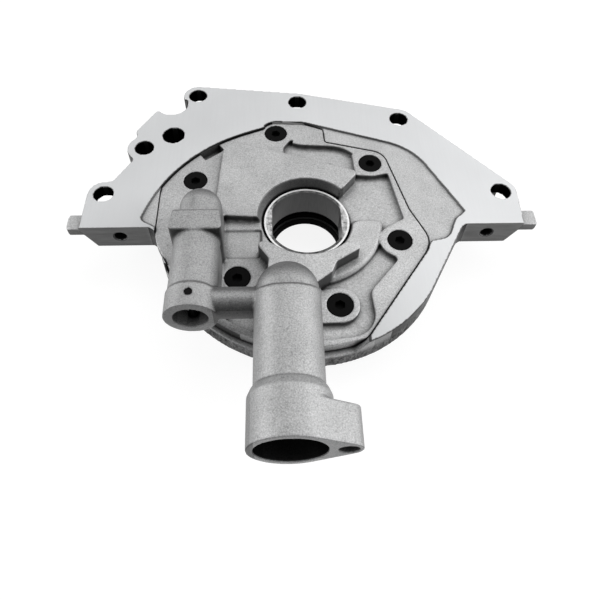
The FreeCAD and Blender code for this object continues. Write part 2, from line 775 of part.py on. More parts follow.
def make_inlet(body):
    """The tube, and the round elbow that carries it on the plate."""
    x, height = "Sizes.inlet_x", "Sizes.inlet_height"
    elbow = [(x, "Sizes.elbow_y", "Sizes.elbow_radius")]
    pad(body, "elbow_foot",
        circle_sketch(body, "elbow_foot_circle", elbow, lift="-Sizes.seat_depth"),
        "Sizes.seat_depth + Sizes.inlet_height - Sizes.inlet_radius + 1")
    tube = circle_sketch(body, "inlet_tube_circle", [(x, height, "Sizes.inlet_radius")],
                         "XZ_Plane", "-Sizes.elbow_y - Sizes.elbow_radius / 2")
    pad(body, "inlet_tube", tube,
        "Sizes.elbow_y + Sizes.elbow_radius / 2 - Sizes.inlet_mouth_y", up=True)
    # The tube ends at a plane through the elbow's centre that leans towards the mouth
    centre_y, centre_z = size("elbow_y"), size("inlet_height")
    lean = math.tan(math.radians(size("elbow_lean")))
    low = centre_z - size("inlet_radius")
    high = centre_z + size("inlet_radius") + 2.0
    far = centre_y + size("elbow_radius") + 2.0
    behind = [(centre_y + (centre_z - low) * lean, low), (far, low), (far, high),
              (centre_y - (high - centre_z) * lean, high)]
    sketch = line_sketch(body, "tube_end_outline", behind, "YZ_Plane",
                         "Sizes.inlet_x - Sizes.inlet_radius - 1")
    pocket(body, "tube_end", sketch, "2 * Sizes.inlet_radius + 2", down=False)
    pad(body, "elbow_upright",
        circle_sketch(body, "elbow_circle", elbow, lift="-Sizes.seat_depth"),
        "Sizes.seat_depth + Sizes.inlet_height")
    ball = body.newObject("PartDesign::AdditiveSphere", "elbow_ball")
    ball.setExpression("Radius", "Sizes.elbow_radius")
    ball.Placement.Base = FreeCAD.Vector(size("inlet_x"), centre_y, centre_z)
    sleeve_start = size("inlet_mouth_y") + size("sleeve_length")
    profile = [(0, sleeve_start), (size("inlet_radius") + size("sleeve_step"), sleeve_start),
               (size("sleeve_radius"), sleeve_start - size("sleeve_taper")),
               (size("sleeve_radius"), size("inlet_mouth_y")), (0, size("inlet_mouth_y"))]
    turned_along_y(body, "inlet_sleeve", profile, size("inlet_x"), size("inlet_height"))
    ear = [(size("inlet_x"), size("inlet_height"), size("sleeve_radius")),
           (size("ear_x"), size("ear_height"), size("ear_radius"))]
    sketch = belt_sketch(body, "ear_outline", ear, "XZ_Plane", "-Sizes.inlet_mouth_y")
    pad(body, "ear", sketch, "Sizes.ear_length", up=False)


def turned_along_y(body, name, profile, x, z, groove=False):
    """A turned form about a line along Y at x, z; the profile is (radius, y) pairs."""
    kind = "PartDesign::Groove" if groove else "PartDesign::Revolution"
    sketch = body.newObject("Sketcher::SketchObject", name + "_profile")
    sketch.AttachmentSupport = [(origin_plane(body, "XY_Plane"), "")]
    sketch.MapMode = "FlatFace"
    sketch.AttachmentOffset = FreeCAD.Placement(FreeCAD.Vector(x, 0, z), FreeCAD.Rotation())
    for i, (r, y) in enumerate(profile):
        r2, y2 = profile[(i + 1) % len(profile)]
        sketch.addGeometry(Part.LineSegment(FreeCAD.Vector(r, y, 0),
                                            FreeCAD.Vector(r2, y2, 0)), False)
    feature = body.newObject(kind, name)
    feature.Profile = sketch
    feature.ReferenceAxis = (sketch, ["V_Axis"])
    feature.Angle = 360
    return feature


def make_relief_housing(body):
    x, z = size("relief_x"), size("relief_height")
    mouth, collar = size("relief_mouth_y"), size("relief_collar_length")
    block_front, block_back = size("relief_block_front_y"), size("relief_block_back_y")
    half = size("relief_block_width") / 2
    block = [(x - half + 2, block_front + 2, 2.0), (x + half - 2, block_front + 2, 2.0),
             (x + half - 2, block_back - 1, 1.0), (x - half + 2, block_back - 1, 1.0)]
    pad(body, "relief_block", belt_sketch(body, "relief_block_outline", block,
                                          lift="-Sizes.rim_drop - 1"),
        "Sizes.relief_block_top + Sizes.rim_drop + 1")
    radius = size("relief_radius")
    inside = block_front + 2.0
    barrel = [(0, inside), (radius - 0.2, inside), (radius + 0.3, mouth + collar),
              (size("relief_collar_radius"), mouth + collar - 0.6),
              (size("relief_collar_radius"), mouth), (0, mouth)]
    barrel = [(-r, y) for r, y in barrel]
    turned_along_y(body, "relief_barrel", barrel, x, z)
    # The barrel stands on the plate by a web as wide as the barrel, under the upper half
    web = [(x - half + 1.5, mouth + 14), (x + half - 1.5, mouth + 14),
           (x + half - 1.5, block_back), (x - half + 1.5, block_back)]
    foot = belt_sketch(body, "relief_web_outline", [(a, b, 0.0) for a, b in web],
                       lift="-Sizes.rim_drop - 1")
    pad(body, "relief_web", foot, "Sizes.relief_height + Sizes.rim_drop + 1")
    dome_radius, dome_y = size("relief_dome_radius"), size("relief_dome_y")
    dome = [(x, dome_y, dome_radius), (x, block_back - 4, dome_radius)]
    lobe = belt_sketch(body, "relief_dome_outline", dome, lift="-Sizes.rim_drop - 1")
    pad(body, "relief_dome_foot", lobe, "Sizes.relief_dome_height + Sizes.rim_drop + 1")
    ball = body.newObject("PartDesign::AdditiveSphere", "relief_dome_ball")
    ball.setExpression("Radius", "Sizes.relief_dome_radius")
    ball.Placement.Base = FreeCAD.Vector(x, dome_y, size("relief_dome_height"))
    back = [(0, dome_y), (dome_radius, dome_y), (dome_radius, block_back - 4), (0, block_back - 4)]
    turned_along_y(body, "relief_dome_barrel", back, x, size("relief_dome_height"))
    ring = [("Sizes.cross_tube_y", "Sizes.cross_tube_height", "Sizes.cross_tube_radius")]
    inset = "Sizes.relief_bore_radius / 3"
    bridge = circle_sketch(body, "cross_tube_circle", ring, "YZ_Plane",
                           "Sizes.relief_x + " + inset)
    pad(body, "cross_tube", bridge, "Sizes.inlet_x - Sizes.relief_x - 2 * " + inset)


def make_cover_cuts(body):
    x, z = size("inlet_x"), size("inlet_height")
    mouth = size("inlet_mouth_y")
    socket, bore = size("inlet_socket_radius"), size("inlet_passage_radius")
    deep = mouth + size("inlet_socket_depth")
    inlet = [(0, mouth - 1), (socket, mouth - 1), (socket, deep), (bore, deep + 2),
             (bore, size("inlet_passage_end_y") - 2.0), (bore - 2.0, size("inlet_passage_end_y")),
             (0, size("inlet_passage_end_y"))]
    turned_along_y(body, "inlet_passage", inlet, x, z, groove=True)
    duct_y, duct = size("duct_y"), size("duct_radius")
    slot = [(x, duct_y - size("duct_length"), duct), (x, duct_y, duct)]
    pocket(body, "inlet_duct", belt_sketch(body, "duct_outline", slot,
                                           lift="-Sizes.seat_depth - 1"),
           "Sizes.seat_depth + 1 + Sizes.duct_top", down=False)
    rx, rz = size("relief_x"), size("relief_height")
    shoulder, feed = size("relief_shoulder_y"), size("relief_feed_radius")
    relief = [(0, size("relief_mouth_y") - 1),
              (size("relief_bore_radius"), size("relief_mouth_y") - 1),
              (size("relief_bore_radius"), shoulder), (feed, shoulder),
              (feed, shoulder + 2 * feed - 1.0), (0, shoulder + 2 * feed)]
    turned_along_y(body, "relief_bore", relief, rx, rz, groove=True)
    underside = "-Sizes.seat_depth - 1"
    link_radius = size("link_radius")
    feed_at = (rx + 1.0, shoulder + feed - 0.5)
    feed_hole = new_sketch(body, "relief_feed_circle", "XY_Plane", underside)
    feed_hole.addGeometry(Part.Circle(FreeCAD.Vector(feed_at[0], feed_at[1], 0),
                                      FreeCAD.Vector(0, 0, 1), link_radius), False)
    pocket(body, "relief_feed", feed_hole, "Sizes.seat_depth + 1 + Sizes.relief_height",
           down=False)
    port_cut, delivery_cut = "Sizes.cover_port_depth + 1", "Sizes.cover_delivery_depth + 1"
    low, high = size("port_inner_radius"), size("port_outer_radius")
    suction = belt_sketch(body, "cover_suction_outline", kidney(-100, -8, low, high),
                          lift=underside)
    pocket(body, "cover_suction_port", suction, port_cut, down=False)
    branch = size("suction_link_radius")
    suction_link = belt_sketch(body, "suction_link_outline",
                               [(x, duct_y, branch), (x + 3.0, branch - high, branch)],
                               lift=underside)
    pocket(body, "suction_link", suction_link, port_cut, down=False)
    delivery = belt_sketch(body, "cover_delivery_outline", kidney(130, 168, low, high),
                           lift=underside)
    pocket(body, "cover_delivery_port", delivery, delivery_cut, down=False)
    link = belt_sketch(body, "delivery_link_outline",
                       [feed_at + (link_radius,), (-29.0, 4.5, link_radius)], lift=underside)
    pocket(body, "delivery_link", link, port_cut, down=False)
    cross = circle_sketch(body, "cross_passage_circle",
                          [("Sizes.cross_tube_y", "Sizes.cross_tube_height",
                            "Sizes.cross_passage_radius")], "YZ_Plane", "Sizes.relief_x")
    pocket(body, "cross_passage", cross, "Sizes.inlet_x - Sizes.relief_x", down=False)
    floor = -size("hub_recess_drop")
    waist = floor + size("hub_recess_straight")
    narrow, wide = size("hub_recess_radius"), size("hub_recess_mouth_radius")
    rise = size("collar_rise")
    spread = (wide - narrow) / (rise - waist)
    cone = [(0, floor), (narrow, floor), (narrow, waist), (wide + spread, rise + 1),
            (0, rise + 1)]
    revolve(body, "hub_recess", cone, "XZ_Plane", "V_Axis", groove=True)
    pilot = circle_sketch(body, "hub_bore_circle",
                          [(None, None, "Sizes.hub_radius + Sizes.rotor_radial_clearance")],
                          lift="Sizes.collar_rise")
    pocket(body, "hub_bore", pilot, "Sizes.collar_rise + Sizes.seat_depth + 1")
    make_screw_seats(body)
    make_notch(body)
    pin_hole = circle_sketch(body, "pin_hole_circle",
                             [("Sizes.relief_x", "Sizes.relief_mouth_y + Sizes.pin_inset",
                               "Sizes.pin_radius + Sizes.fit_gap")], lift="-2")
    pocket(body, "pin_hole", pin_hole, "40", down=False)
    ear_ring = [("Sizes.ear_x", "Sizes.ear_height", "Sizes.ear_hole_radius")]
    ear_hole = circle_sketch(body, "ear_hole_circle", ear_ring, "XZ_Plane",
                             "-Sizes.inlet_mouth_y + 1")
    pocket(body, "ear_hole", ear_hole, "Sizes.ear_hole_depth + 1")
    dowels = [at_cells(name) + ("Sizes.dowel_radius + Sizes.fit_gap",) for name in DOWELS]
    pocket(body, "cover_dowel_holes",
           circle_sketch(body, "cover_dowel_circles", dowels, lift=underside),
           "Sizes.dowel_in_cover + 1.3", down=False)


def make_screw_seats(body):
    """Clearance holes, each with a countersink that the screw head sits in."""
    top = -size("rim_drop")
    hole = size("thread_radius") + size("screw_clearance")
    sink = size("screw_head_radius") + size("screw_clearance")
    low = top - size("screw_head_recess") - size("screw_head_lip")
    profile = [(0, top + 9), (sink, top + 9), (sink, low), (hole, low - (sink - hole)),
               (hole, -size("seat_depth") - 1), (0, -size("seat_depth") - 1)]
    for name in SCREWS:
        x, y = spot(name)
        sketch = body.newObject("Sketcher::SketchObject", name + "_seat_profile")
        sketch.AttachmentSupport = [(origin_plane(body, "XZ_Plane"), "")]
        sketch.MapMode = "FlatFace"
        sketch.AttachmentOffset = FreeCAD.Placement(FreeCAD.Vector(x, 0, -y),
                                                    FreeCAD.Rotation())
        for i, (r, z) in enumerate(profile):
            r2, z2 = profile[(i + 1) % len(profile)]
            sketch.addGeometry(Part.LineSegment(FreeCAD.Vector(r, z, 0),
                                                FreeCAD.Vector(r2, z2, 0)), False)
        groove = body.newObject("PartDesign::Groove", name + "_seat")
        groove.Profile = sketch
        groove.ReferenceAxis = (sketch, ["V_Axis"])
        groove.Angle = 360


def make_notch(body):
    """A notch in the plate's edge, upper left, that clears a lug of the block."""
    angle = math.radians(size("notch_angle"))
    reach = size("cover_arc_radius")
    cx, cy = reach * math.cos(angle), size("cover_arc_y") + reach * math.sin(angle)
    along = (-math.sin(angle), math.cos(angle))
    inward = (-math.cos(angle), -math.sin(angle))
    half, deep = size("notch_length") / 2, size("notch_width")
    corners = [(-half, -3.0), (-half, deep), (half, deep), (half, -3.0)]
    points = [(cx + a * along[0] + b * inward[0], cy + a * along[1] + b * inward[1], 0.0)
              for a, b in corners]
    points.reverse()
    area = sum(points[i - 1][0] * points[i][1] - points[i][0] * points[i - 1][1]
               for i in range(4))
    if area < 0:
        points.reverse()
    sketch = belt_sketch(body, "notch_outline", points)
    pocket(body, "notch", sketch, "Sizes.seat_depth + 1")


# Gerotor set
def make_inner_rotor():
    lobes = int(size("inner_lobes"))
    reach, e = size("tooth_circle_radius"), size("eccentricity")
    roll = size("tooth_radius") + size("mesh_clearance")
    points = []
    steps = PROFILE_STEPS_PER_LOBE * lobes
    for i in range(steps):
        t = 2 * math.pi * i / steps
        x = reach * math.cos(t) + e * math.cos((lobes + 1) * t)
        y = reach * math.sin(t) + e * math.sin((lobes + 1) * t)
        dx = -reach * math.sin(t) - e * (lobes + 1) * math.sin((lobes + 1) * t)
        dy = reach * math.cos(t) + e * (lobes + 1) * math.cos((lobes + 1) * t)
        speed = math.hypot(dx, dy)
        points.append(FreeCAD.Vector(x - roll * dy / speed, y + roll * dx / speed, 0))
    # Each pair of steps along the envelope is one arc
    arcs = [Part.Arc(points[i], points[i + 1], points[(i + 2) % steps]).toShape()
            for i in range(0, steps, 2)]
    face = Part.Face(Part.Wire(arcs))
    clearance = size("rotor_end_clearance")
    thickness = size("rotor_thickness")
    bottom = -size("seat_depth") - clearance - thickness
    lobed = face.extrude(FreeCAD.Vector(0, 0, thickness))
    lobed.translate(FreeCAD.Vector(0, 0, bottom))
    hub = Part.makeCylinder(size("hub_radius"), -size("hub_drop") - bottom - 1,
                            FreeCAD.Vector(0, 0, bottom + 1))
    bore = Part.makeCylinder(size("crank_bore_radius"), 60, FreeCAD.Vector(0, 0, -40))
    flat = size("crank_flat_distance")
    slab = Part.makeBox(2 * flat, 80, 60, FreeCAD.Vector(-flat, -40, -40))
    shape = lobed.fuse(hub).cut(bore.common(slab)).removeSplitter()
    return plain_feature("inner_rotor", shape)


def make_outer_rotor():
    body = new_body("outer_rotor")
    bottom = "-Sizes.seat_depth - Sizes.rotor_end_clearance - Sizes.rotor_thickness"
    ring = circle_sketch(body, "outer_rotor_circle", [(None, None, "%f" % rotor_outer_radius())],
                         lift=bottom)
    pad(body, "ring", ring, "Sizes.rotor_thickness")
    reach, tooth, root = size("tooth_circle_radius"), size("tooth_radius"), root_radius()
    half_pitch = math.pi / OUTER_TEETH
    spread = math.acos((reach ** 2 + root ** 2 - tooth ** 2) / (2 * reach * root))
    sketch = new_sketch(body, "tooth_space_outline", "XY_Plane", bottom)

    def polar(radius, angle):
        return FreeCAD.Vector(radius * math.cos(angle), radius * math.sin(angle), 0)

    def tooth_flank(side):
        """The arc of one tooth, from its tip to the root circle."""
        centre = polar(reach, side * half_pitch)
        tip = polar(reach - tooth, side * half_pitch)
        foot = polar(root, side * (half_pitch - spread))
        out = (tip - centre) + (foot - centre)
        middle = centre + out.normalize() * tooth
        return tip, middle, foot

    tip_low, middle_low, foot_low = tooth_flank(-1)
    tip_high, middle_high, foot_high = tooth_flank(1)
    curves = [Part.Arc(tip_low, middle_low, foot_low),
              Part.Arc(foot_low, polar(root, 0.0), foot_high),
              Part.Arc(foot_high, middle_high, tip_high)]
    for curve in curves:
        edge = curve.toShape()
        sketch.addGeometry(Part.ArcOfCircle(edge.Curve, edge.FirstParameter,
                                            edge.LastParameter), False)
    centre = FreeCAD.Vector(0, 0, 0)
    sketch.addGeometry(Part.LineSegment(tip_high, centre), False)
    sketch.addGeometry(Part.LineSegment(centre, tip_low), False)
    space = pocket(body, "tooth_space", sketch, "Sizes.rotor_thickness", down=False)
    DOC.recompute()
    pattern = body.newObject("PartDesign::PolarPattern", "tooth_spaces")
    pattern.Originals = [space]
    pattern.Axis = (ring, ["N_Axis"])
    pattern.Angle = 360
    pattern.setExpression("Occurrences", "Sizes.inner_lobes + 1")
    body.Tip = pattern
    phase = size("eccentric_angle") / OUTER_TEETH - 180.0 / OUTER_TEETH
    x, y = eccentric_centre()
    body.Placement = FreeCAD.Placement(FreeCAD.Vector(x, y, 0),
                                       FreeCAD.Rotation(FreeCAD.Vector(0, 0, 1), phase))
    return body


def plain_feature(name, shape, place=None):
    feature = DOC.addObject("Part::Feature", name)
    feature.Label = name
    feature.Shape = shape
    if place:
        feature.Placement = place
    return feature


# Turned small parts: one revolved sketch each, in the XZ plane about Z
def turned_part(name, profile, place=None):
    body = new_body(name)
    revolve(body, name + "_turn", profile, "XZ_Plane", "V_Axis")
    if place:
        body.Placement = place
    return body


def along_minus_y(x, z):
    """Placement that lays a part turned about +Z along -Y, its zero at y = 0."""
    return FreeCAD.Placement(FreeCAD.Vector(x, 0, z),
                             FreeCAD.Rotation(FreeCAD.Vector(1, 0, 0), 90))


def make_screw(number, name):
    x, y = spot(name)
    thread = size("thread_radius") - size("fit_gap")
    head = size("screw_head_radius")
    lip = size("screw_head_lip")
    height = lip + head - thread
    length = size("screw_length")
    chamfer = 0.6
    profile = [(0, 0), (head, 0), (head, -lip), (thread, -height), (thread, chamfer - length),
               (thread - chamfer, -length), (0, -length)]
    top = -size("rim_drop") - size("screw_head_recess")
    node = "cover_screw_%d" % number
    body = new_body(node)
    revolve(body, node + "_turn", profile, "XZ_Plane", "V_Axis")
    reach = size("screw_socket_width") / math.sqrt(3)
    socket = new_sketch(body, node + "_socket_outline")
    for i in range(6):
        a, b = math.radians(60 * i), math.radians(60 * (i + 1))
        start = FreeCAD.Vector(reach * math.cos(a), reach * math.sin(a), 0)
        end = FreeCAD.Vector(reach * math.cos(b), reach * math.sin(b), 0)
        socket.addGeometry(Part.LineSegment(start, end), False)
    pocket(body, node + "_socket", socket, "Sizes.screw_socket_depth")
    body.Placement = FreeCAD.Placement(
        FreeCAD.Vector(x, y, top), FreeCAD.Rotation(FreeCAD.Vector(0, 0, 1), 17.0 * number))
    return body


def make_seal():
    outer = size("seal_outer_radius") - size("fit_gap")
    wall, flange = size("seal_case_wall"), size("seal_case_flange")
    front = -size("seal_boss_depth") + 0.2
    back = front + size("seal_width")
    inner = outer - wall
    case = [(outer, front), (outer, back), (outer - flange, back), (outer - flange, back - wall),
            (inner, back - wall), (inner, front)]
    turned_part("crank_seal_case", case)
    lip = size("seal_lip_radius")
    gap = size("fit_gap")
    hold = outer - flange - gap
    groove = lip + 1.5
    rubber = [(inner - gap, front + 0.3), (inner - gap, back - wall - gap), (hold, back - wall - gap),
              (hold, back), (hold - 1.4, back), (groove + 1.0, front + 4.9),
              (groove - 0.3, front + 6.2), (lip, front + 4.0), (lip + 3.6, front + 0.3)]
    turned_part("crank_seal_lip", rubber)
    coil = size("garter_radius")
    coil_out, coil_height = groove + size("garter_out"), front + size("garter_height")
    around = [2 * math.pi * (i + 0.5) / WIRE_SIDES for i in range(WIRE_SIDES)]
    ring = [(coil_out + coil * math.cos(a), coil_height + coil * math.sin(a)) for a in around]
    turned_part("crank_seal_garter_spring", ring)


def relief_stations():
    """Places along the relief bore, as distances from y = 0 towards the mouth."""
    mouth = -size("relief_mouth_y")
    head = -size("relief_shoulder_y") + 0.05
    pin = mouth - size("pin_inset")
    washer_out = pin - size("pin_radius") - 0.02
    washer_in = washer_out - size("seat_washer_thickness")
    return head, washer_in, washer_out, pin


def make_relief_valve():
    x, z = size("relief_x"), size("relief_height")
    lay = along_minus_y(x, z)
    head, washer_in, washer_out, pin = relief_stations()
    outer = size("relief_bore_radius") - size("plunger_clearance")
    inner = outer - size("plunger_wall")
    crown = head + size("plunger_crown")
    skirt = head + size("plunger_length")
    plunger = [(0, head), (outer - 0.8, head), (outer, head + 0.8), (outer, skirt),
               (inner, skirt), (inner, crown), (0, crown)]
    turned_part("relief_plunger", plunger, lay)
    hole = size("seat_hole_radius")
    spigot = size("seat_spigot_length")
    wire = size("spring_wire_radius")
    coil = inner - size("spring_side_gap") - wire
    washer = [(hole, washer_in - spigot), (coil - wire - 0.3, washer_in - spigot),
              (coil - wire - 0.3, washer_in), (outer - 0.1, washer_in),
              (outer - 0.1, washer_out), (hole, washer_out)]
    turned_part("relief_spring_seat", washer, lay)
    make_spring(coil, wire, crown + wire + 0.05, washer_in - wire - 0.05, lay)
    reach = size("relief_collar_radius") - size("pin_below_surface")
    body = new_body("relief_retaining_pin")
    ring = [("Sizes.relief_x", "Sizes.relief_mouth_y + Sizes.pin_inset", "Sizes.pin_radius")]
    sketch = circle_sketch(body, "retaining_pin_circle", ring,
                           lift="%f" % (z - reach))
    pad(body, "retaining_pin_length", sketch, "%f" % (2 * reach))


def make_spring(coil, wire, start, end, lay):
    pitch = (end - start) / size("spring_turns")
    helix = Part.makeHelix(pitch, end - start, coil)
    corners = []
    for i in range(WIRE_SIDES + 1):
        angle = 2 * math.pi * i / WIRE_SIDES
        corners.append(FreeCAD.Vector(coil + wire * math.cos(angle), 0, wire * math.sin(angle)))
    section = Part.makePolygon(corners)
    sweep = Part.Wire(helix.Edges).makePipeShell([section], True, True)
    place = lay * FreeCAD.Placement(FreeCAD.Vector(0, 0, start), FreeCAD.Rotation())
    plain_feature("relief_spring", Part.Solid(sweep) if sweep.ShapeType == "Shell" else sweep,
                  place)


def make_dowel(number, name):
    x, y = spot(name)
    body = new_body("cover_dowel_%d" % number)
    radius, length = size("dowel_radius"), size("dowel_length")
    chamfer = 0.5
    top = -size("seat_depth") + size("dowel_in_cover")
    profile = [(0, top), (radius - chamfer, top), (radius, top - chamfer),
               (radius, top - length + chamfer), (radius - chamfer, top - length),
               (0, top - length)]
    revolve(body, "dowel_turn_%d" % number, profile, "XZ_Plane", "V_Axis")
    body.Placement.Base = FreeCAD.Vector(x, y, 0)
    return body


def make_gallery_plug():
    """The pressed plug that closes the outer end of the drilled gallery."""
    outer, _, (ux, uy) = gallery_run()
    radius = size("gallery_radius") - size("fit_gap")
    level = -size("gallery_drop")
    run = FreeCAD.Vector(ux, uy, 0)
    start = FreeCAD.Vector(outer[0], outer[1], level) - run * size("plug_inset")
    length, dish_depth = size("plug_length"), size("plug_dish_depth")
    plug = Part.makeCylinder(radius, length, start, run)
    dish = Part.makeCylinder(radius - size("plug_wall"), dish_depth,
                             start + run * (length - dish_depth), run)
    plain_feature("gallery_plug", plug.cut(dish))


def check_and_write():
    DOC.recompute()
    failed = [o.Name for o in DOC.Objects if {"Invalid", "Error"} & set(o.State)]
    if failed:
        raise RuntimeError("failed objects: %s" % failed)
    os.makedirs("parts", exist_ok=True)
    nodes = [o for o in DOC.Objects
             if o.TypeId in ("PartDesign::Body", "Part::Feature") and o.Label[0] != "_"]
    for node in nodes:
        if node.Shape.isNull() or not node.Shape.isValid():
            raise RuntimeError("bad shape: " + node.Label)
        node.Shape.exportStep("parts/%s.step" % node.Label)
        print("%-26s solids %d volume %.1f" % (node.Label, len(node.Shape.Solids),
                                               node.Shape.Volume))


def main():
    make_body()
    make_cover()
    make_inner_rotor()
    make_outer_rotor()
    for number, name in enumerate(SCREWS, start=1):
        make_screw(number, name)
    make_seal()
    make_relief_valve()
    for number, name in enumerate(DOWELS, start=1):
        make_dowel(number, name)
    make_gallery_plug()
    check_and_write()


main()
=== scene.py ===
import json
import math

import bmesh
import bpy
import numpy
from mathutils import Matrix, Vector


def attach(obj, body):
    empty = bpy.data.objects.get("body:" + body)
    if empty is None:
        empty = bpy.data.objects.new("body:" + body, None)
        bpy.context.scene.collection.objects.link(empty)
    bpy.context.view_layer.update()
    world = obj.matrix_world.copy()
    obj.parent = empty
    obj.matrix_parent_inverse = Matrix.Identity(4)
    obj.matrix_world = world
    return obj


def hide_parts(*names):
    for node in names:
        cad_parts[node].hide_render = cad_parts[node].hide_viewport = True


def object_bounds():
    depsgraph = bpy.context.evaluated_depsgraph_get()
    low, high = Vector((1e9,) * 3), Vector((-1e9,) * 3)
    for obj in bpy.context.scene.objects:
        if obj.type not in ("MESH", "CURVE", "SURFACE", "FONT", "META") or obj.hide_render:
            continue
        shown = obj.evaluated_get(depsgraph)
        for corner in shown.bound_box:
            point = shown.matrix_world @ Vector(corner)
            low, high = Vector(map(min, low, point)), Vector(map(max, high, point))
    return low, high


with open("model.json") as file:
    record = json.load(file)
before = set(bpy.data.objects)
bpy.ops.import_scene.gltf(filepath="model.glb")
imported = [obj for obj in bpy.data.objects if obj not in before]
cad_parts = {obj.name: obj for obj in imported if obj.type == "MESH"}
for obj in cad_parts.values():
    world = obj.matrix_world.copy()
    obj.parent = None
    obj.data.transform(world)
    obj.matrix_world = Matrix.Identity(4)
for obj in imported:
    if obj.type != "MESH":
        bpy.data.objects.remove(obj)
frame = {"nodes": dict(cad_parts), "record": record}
cad_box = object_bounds()

NODES = frame["nodes"]
SLOTS = {item["node"]: item["material_slot"] for item in frame["record"]["subparts"]}
HOUSING = "housing"
MM = 0.001

# Where the cover's forms begin and end. A pair is where a change starts and where it is full.
RAISED_Z = 9.5 * MM
FLAT_FACES_TOP = 7.5 * MM
END_FACES_Y = -56.2 * MM
RELIEF_END_Y = -60.0 * MM
RELIEF_EDGE_X = -22.5 * MM
SLEEVE_END_Y = (-80.0 * MM, -70.0 * MM)
HUB_WALL_RADIUS = 23.8 * MM
CROSS_TUBE_X = (-37.2 * MM, -21.4 * MM)
CROSS_TUBE_BACK_Y = -44.5 * MM
CROSS_TUBE_BOTTOM = 7.8 * MM
ELBOW_SEAM_LEAN = 0.255
ELBOW_SEAM = -44.25 * MM
COVER_LIGHT_RUN = (-30.0 * MM, 70.0 * MM)

# Where the body's faces begin and end
MILLED_BOTTOM = -0.45 * MM
STEP_TOP = -0.1 * MM
STEP_BOTTOM = -0.95 * MM
SUMP_FACES_Y = -5.2 * MM
RIM_Z = (-4.0 * MM, -7.5 * MM)
SAWN_Y = (-20.0 * MM, -35.0 * MM)
FACE_LIGHT_RUN = (-120.0 * MM, 85.0 * MM)

# Where the inner rotor's hub face begins, and the ring and the flats on it
ROTOR_FACE_BOTTOM = -4.5 * MM
BORE_FLAT_X = (14.8 * MM, 15.8 * MM)
HUB_RING_RADIUS = (18.1 * MM, 18.4 * MM)

# Tones of single forms, as a share of the skin's own; most are painted shade, the relief and elbow
# only darker
HUB_WALL_SHADE = 0.5
RELIEF_END_SHADE = 0.72
RELIEF_TONE = 0.8
ELBOW_TONE = 0.84
STEP_SHADE = 0.3
HOLE_SHADE = 0.03

# How much darkness lies on a surface that leans away from the light
FLANK_SHADE = 0.5
FRONT_SHADE = 0.34
UNDERSIDE_SHADE = 0.6

SKIN_BUMP = 0.12 * MM
STEEL_BUMP = 0.02 * MM
BLACK_BUMP = 0.04 * MM
METAL_SHEEN = 0.3


